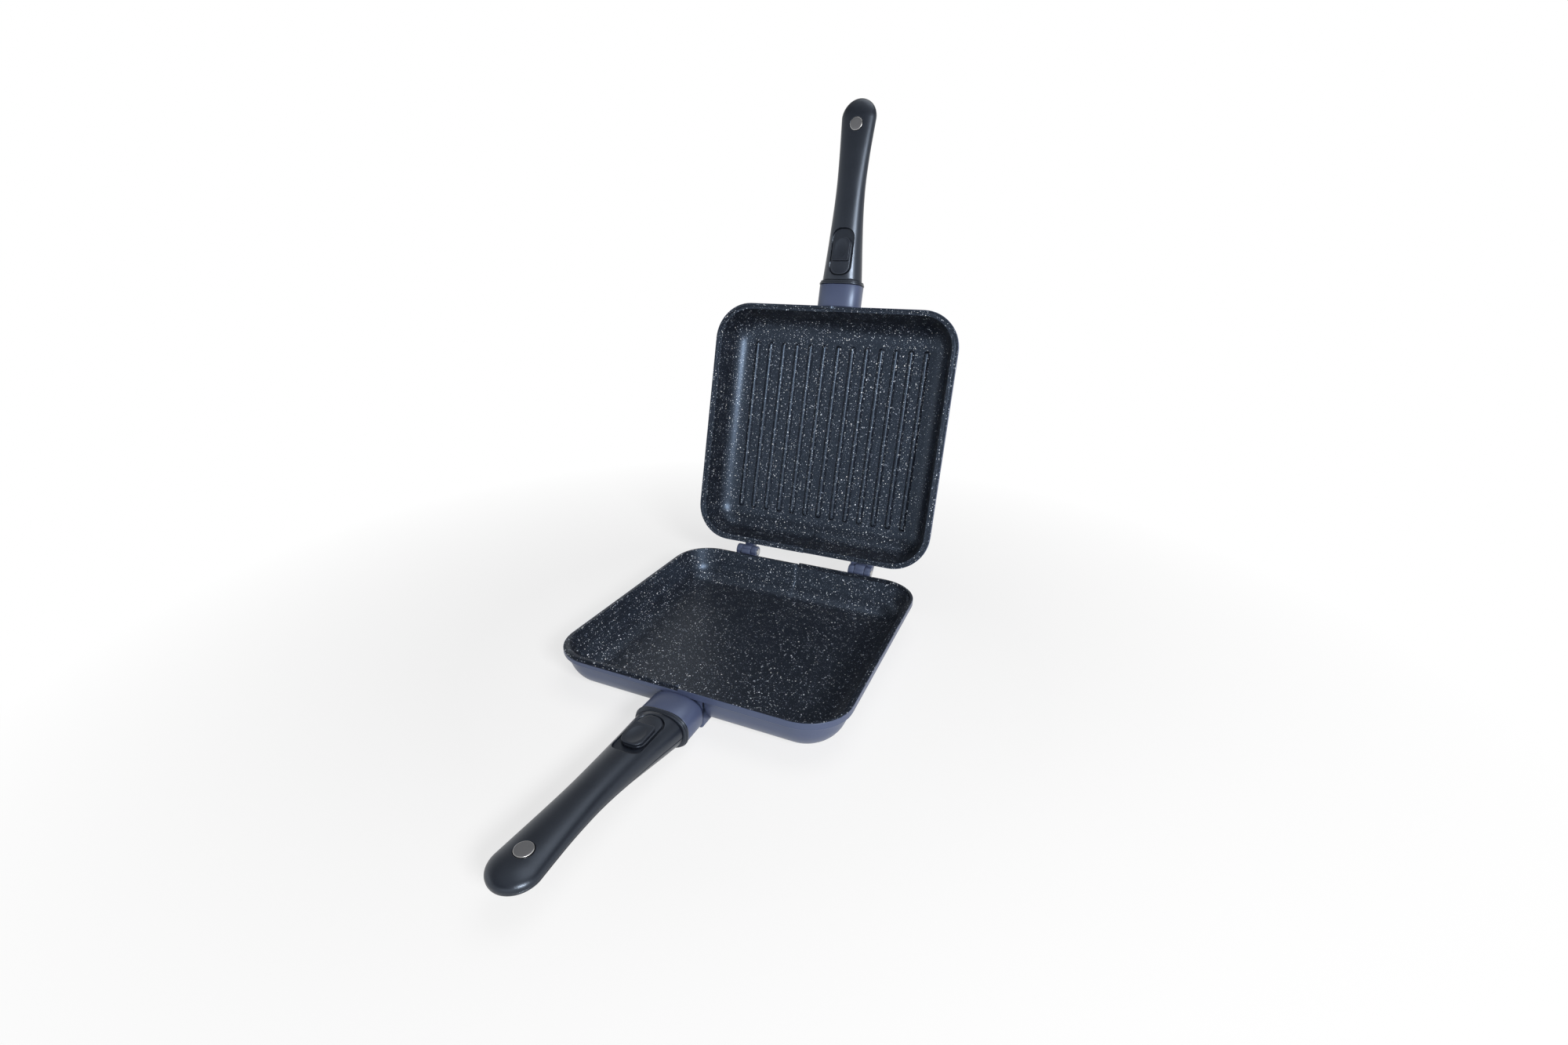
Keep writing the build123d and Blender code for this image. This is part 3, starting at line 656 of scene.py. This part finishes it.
def pad_rows():
    """The thumb pad: its top falls from the step to the tip, with an oval scoop in it, deepest in
    the middle as one less the squared distance, and a ridge along the step."""
    half_w = pad_width / 2
    corners = [(-half_w, pad_start), (half_w, pad_start), (half_w, pad_end), (-half_w, pad_end)]
    fine = closed_line(corners, [pad_step_round] * 2 + [pad_tip_round] * 2, 12)
    closed = np.vstack([fine, fine[:1]])
    run = np.r_[0, np.cumsum(np.hypot(*np.diff(closed, axis=0).T))]
    even = np.linspace(0, run[-1], pad_points + 1)[:-1]
    outline = np.stack([np.interp(even, run, closed[:, k]) for k in (0, 1)], 1)
    plan = drawn_in(outline, pad_edge, pad_rings)
    x, s = plan[..., 0], plan[..., 1]
    fall = np.clip((s - pad_start) / (pad_end - pad_start), 0, 1)
    reach = (x / scoop_reach[0]) ** 2 + ((s - scoop_middle) / scoop_reach[1]) ** 2
    height = pad_high + (pad_low - pad_high) * fall - scoop_depth * np.clip(1 - reach, 0, 1)
    from_ridge = (s - pad_start - step_ridge_at) / step_ridge_spread
    height = height + step_ridge_height * np.exp(-(from_ridge**2))
    return plate(plan, height, pad_edge, foot_top - pad_root)


slider_black, tree, shader, place = finish_named(
    "slider_black", roughness=0.38, specular=0.60, tint=(0.70, 0.82, 1))
black, _ = two_tones(tree, place, scale=55.0, detail=4.0,
                     dark=(0.0090, 0.0110, 0.0165), pale=(0.0125, 0.0150, 0.0220))
tree.links.new(black, shader.inputs["Base Color"])
grain(tree, shader, place, scale=1800.0, height=0.00003)

for half in halves:
    slider = piece(half + "_slide_button", [(foot_rows(), 0), (pad_rows(), 0)], half, (slider_black,))
    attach(slider, half + "_slide")
    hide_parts(half + "_button")

# Magnet cap
# A drawn stainless cap over the magnet, let into the back of the grip near the tip. Its edge is
# bevelled and bright, and its face is ground to a duller grey.
cap_profile = (
    # radius, height
    (0.02, -0.22), (3.0, -0.2), (5.55, -0.2), (5.7, -0.22), (5.85, -0.34), (5.93, -0.5), (5.95, -0.8),
    (5.95, -1.9))
cap_points, ground_rows = 72, 2

steel, tree, shader, place = finish_named("brushed_steel", roughness=0.3, metallic=1.0)
silver, _ = two_tones(tree, place, scale=2600.0, detail=2.0,
                      dark=(0.42, 0.42, 0.42), pale=(0.60, 0.60, 0.60))
tree.links.new(silver, shader.inputs["Base Color"])
grain(tree, shader, place, scale=2200.0, height=0.000008)

disc_face, tree, shader, place = finish_named("ground_disc", roughness=0.34, metallic=1.0)
shader.inputs["Base Color"].default_value = (0.26, 0.265, 0.28, 1)

for half in halves:
    turn = np.linspace(0, 2 * math.pi, cap_points, endpoint=False)
    rows = np.array([
        np.stack([r * np.cos(turn), front - magnet_place + r * np.sin(turn), np.full(cap_points, z)], 1)
        for r, z in cap_profile])
    band = np.repeat(np.where(np.arange(len(rows) - 1) < ground_rows, 1, 0), cap_points)
    cap = piece(half + "_magnet_disc", [(rows, np.r_[band, 1, 0])], half, (steel, disc_face))
    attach(cap, half + "_handle")
    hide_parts(half + "_magnet_cap")

# Hinge pins
# A steel pin through each fork, peened at both ends into a low dome.
pin_radius, pin_points, pin_clearance = 2.0, 40, 0.03
pin_reach = tongue_width / 2 + knuckle_gap + ear_width + pin_clearance
# Radius, and height over the fork's outer face
pin_dome = ((0.02, 1.2), (1.2, 1.12), (2.4, 0.8), (3.1, 0.4), (3.4, 0.02), (pin_radius, 0))
for half, name, body in (("lower", "left_hinge_pin", "lower_half"), ("upper", "right_hinge_pin", "lid")):
    dome = [(r, pin_reach + over) for r, over in pin_dome]
    turn = np.linspace(0, 2 * math.pi, pin_points, endpoint=False)
    rows = np.array([
        np.stack([np.full(pin_points, h - hinge_offset), hinge_back + r * np.cos(turn), r * np.sin(turn)], 1)
        for r, h in dome + [(r, -h) for r, h in dome[::-1]]])
    pin = piece(name + "_steel", [(rows, 0)], half, (steel,))
    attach(pin, body)
    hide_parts(name)

# Steel inside the handle
# Tang, latch bolt, magnet and screws are seen only with the handle off or from below. They keep
# the shape of their solids and get the look of pressed and turned steel.
inner_steel, tree, shader, place = finish_named("pressed_steel", roughness=0.34, metallic=1.0)
zinc, _ = two_tones(tree, place, scale=400.0, detail=5.0,
                    dark=(0.38, 0.38, 0.39), pale=(0.56, 0.55, 0.54))
tree.links.new(zinc, shader.inputs["Base Color"])
grain(tree, shader, place, scale=900.0, height=0.00001)
for half in halves:
    for word in ("tang", "latch_bolt", "magnet", "grip_screws"):
        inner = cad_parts[half + "_" + word]
        inner.data.materials.clear()
        inner.data.materials.append(inner_steel)

# Latch spring
# A coil of spring wire between the bolt's tail and the end of its channel. It is pressed together
# as the button is drawn back.
spring_start, spring_stop, spring_height = 58.35, 71.65, -10.7
coil_radius, wire_radius, coil_turns = 1.95, 0.38, 6.5
points_per_turn, wire_points = 26, 10


def coil_rows():
    """A round wire wound about the handle's axis: its middle line is (r cos a, r sin a) and moves
    on evenly, and each row is a circle square to the winding."""
    angle = np.linspace(0, 2 * math.pi * coil_turns, int(points_per_turn * coil_turns))
    share = np.linspace(0, 1, len(angle))
    along = spring_start + wire_radius + (spring_stop - spring_start - 2 * wire_radius) * share
    turn = np.linspace(0, 2 * math.pi, wire_points, endpoint=False)
    reach = coil_radius + wire_radius * np.cos(turn)[None]
    x = reach * np.cos(angle)[:, None]
    z = spring_height + reach * np.sin(angle)[:, None]
    y = front - along[:, None] + wire_radius * np.sin(turn)[None]
    return np.stack([x, y, z], -1)


for half in halves:
    spring = piece(half + "_latch_coil", [(coil_rows(), 0)], half, (inner_steel,))
    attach(spring, half + "_handle")
    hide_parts(half + "_latch_spring")
    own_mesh(spring)

# Floor and light
# A white floor and a white horizon under a dark ceiling with a lit patch overhead, which the
# glossy pieces mirror. The key lamp stands in front on the right; a large soft one hangs above,
# and two weak ones fill in from the front and the left.
floor_reach, floor_drop = 6, 0.0002
floor_mesh = bpy.data.meshes.new("studio_floor")
floor_corners = [(-floor_reach, -floor_reach, 0), (floor_reach, -floor_reach, 0),
                 (floor_reach, floor_reach, 0), (-floor_reach, floor_reach, 0)]
floor_mesh.from_pydata(floor_corners, [], [(0, 1, 2, 3)])
floor = bpy.data.objects.new("studio_floor", floor_mesh)
floor.location.z = -floor_drop
bpy.context.scene.collection.objects.link(floor)


def seen_rays(tree):
    """Whether a ray comes straight from the camera, and whether it shows the studio at all:
    straight, mirrored or through glass."""
    path = tree.nodes.new("ShaderNodeLightPath")
    camera_ray = path.outputs["Is Camera Ray"]
    shown = calculate(tree, "MAXIMUM", camera_ray, path.outputs["Is Glossy Ray"])
    return camera_ray, calculate(tree, "MAXIMUM", shown, path.outputs["Is Transmission Ray"])


white, tree, shader, place = finish_named("white_floor", roughness=0.9)
shader.inputs["Base Color"].default_value = (0.9, 0.9, 0.9, 1)
# Far from the pan the floor is shown pure white. Near it three tenths of its shading show
_, shown = seen_rays(tree)
distance = node(tree, "ShaderNodeVectorMath", {0: place}, operation="LENGTH")
fade = map_range(tree, distance.outputs["Value"], 0.25, 0.6, 0.7, 1.0)
share = calculate(tree, "MULTIPLY", shown, fade)
glow = node(tree, "ShaderNodeEmission", {"Color": (1, 1, 1, 1), "Strength": 1.0})
both = node(tree, "ShaderNodeMixShader", {
    0: share, 1: shader.outputs["BSDF"], 2: glow.outputs["Emission"]})
tree.links.new(both.outputs["Shader"], tree.nodes["Material Output"].inputs["Surface"])
floor_mesh.materials.append(white)

world = bpy.data.worlds.new("studio")
world.use_nodes = True
bpy.context.scene.world = world
tree = world.node_tree
sky = tree.nodes["Background"]
camera_ray, shown = seen_rays(tree)
towards = node(tree, "ShaderNodeTexCoord")
up = node(tree, "ShaderNodeSeparateXYZ", {"Vector": towards.outputs["Generated"]}).outputs["Z"]
# Mirrored, the sky is white at the horizon, dark above it and half lit overhead. The camera sees
# white, and as a light it is dim
ceiling = map_range(tree, up, 0.26, 0.62, 1.0, 0.2)
zenith = map_range(tree, up, 0.70, 0.86, 0.0, 0.42)
above = calculate(tree, "MAXIMUM", calculate(tree, "ADD", ceiling, zenith), camera_ray)
tree.links.new(map_range(tree, shown, 0.0, 1.0, 0.06, above), sky.inputs["Strength"])
sky.inputs["Color"].default_value = (1, 1, 1, 1)

for name, place, aim, wide, high, power in (
    # name, place, the point it shines at, width and height in metres, watts
    ("lamp_right", (1.08, -0.92, 0.80), (0, 0.1, 0.2), 0.40, 0.30, 23.0),
    ("lamp_front", (0.35, -1.60, 0.30), (0, 0, 0.1), 0.9, 0.5, 1.0),
    ("lamp_left", (-1.6, -0.9, 0.6), (0, 0.05, 0.1), 0.9, 0.7, 1.0),
    ("lamp_above", (0.3, 0.45, 1.9), (0, 0.0, 0.1), 1.4, 1.4, 10.0),
):
    lamp = bpy.data.lights.new(name, "AREA")
    lamp.shape = "RECTANGLE"
    lamp.energy, lamp.size, lamp.size_y = power, wide, high
    stand = bpy.data.objects.new(name, lamp)
    stand.location = place
    away = np.array(place) - np.array(aim)
    tilt, turn = math.acos(away[2] / np.linalg.norm(away)), math.atan2(away[1], away[0]) + math.pi / 2
    stand.rotation_euler = (tilt, 0, turn)
    bpy.context.scene.collection.objects.link(stand)

# Camera
# It stands to the right in front of the pan and looks down on it, as in the photograph. Focal
# length and shifts are in pixels of a picture this wide.
picture_width, focal_length, shift_across, shift_up = 2000, 921.97, 57.35, 14.37
sensor_width = 36
camera_place = (0.240363, -0.510688, 0.346447)
camera_turn, camera_drop, camera_roll = map(math.radians, (25.9895, 22.5135, -0.2130))
camera_data = bpy.data.cameras.new("camera")
camera_data.sensor_width = sensor_width
camera_data.lens = sensor_width * (focal_length / picture_width)
camera_data.shift_x, camera_data.shift_y = shift_across / picture_width, shift_up / picture_width
camera_data.clip_start = 0.01
camera = bpy.data.objects.new("camera", camera_data)
camera.location = camera_place
camera.rotation_euler = (math.pi / 2 - camera_drop, 0, camera_turn)
bpy.context.scene.collection.objects.link(camera)
bpy.context.scene.camera = camera
bpy.context.view_layer.update()
camera.rotation_mode = "QUATERNION"
camera.rotation_quaternion = camera.matrix_world.to_quaternion() @ Quaternion((0, 0, 1), camera_roll)

bpy.context.scene.view_settings.view_transform = "Standard"
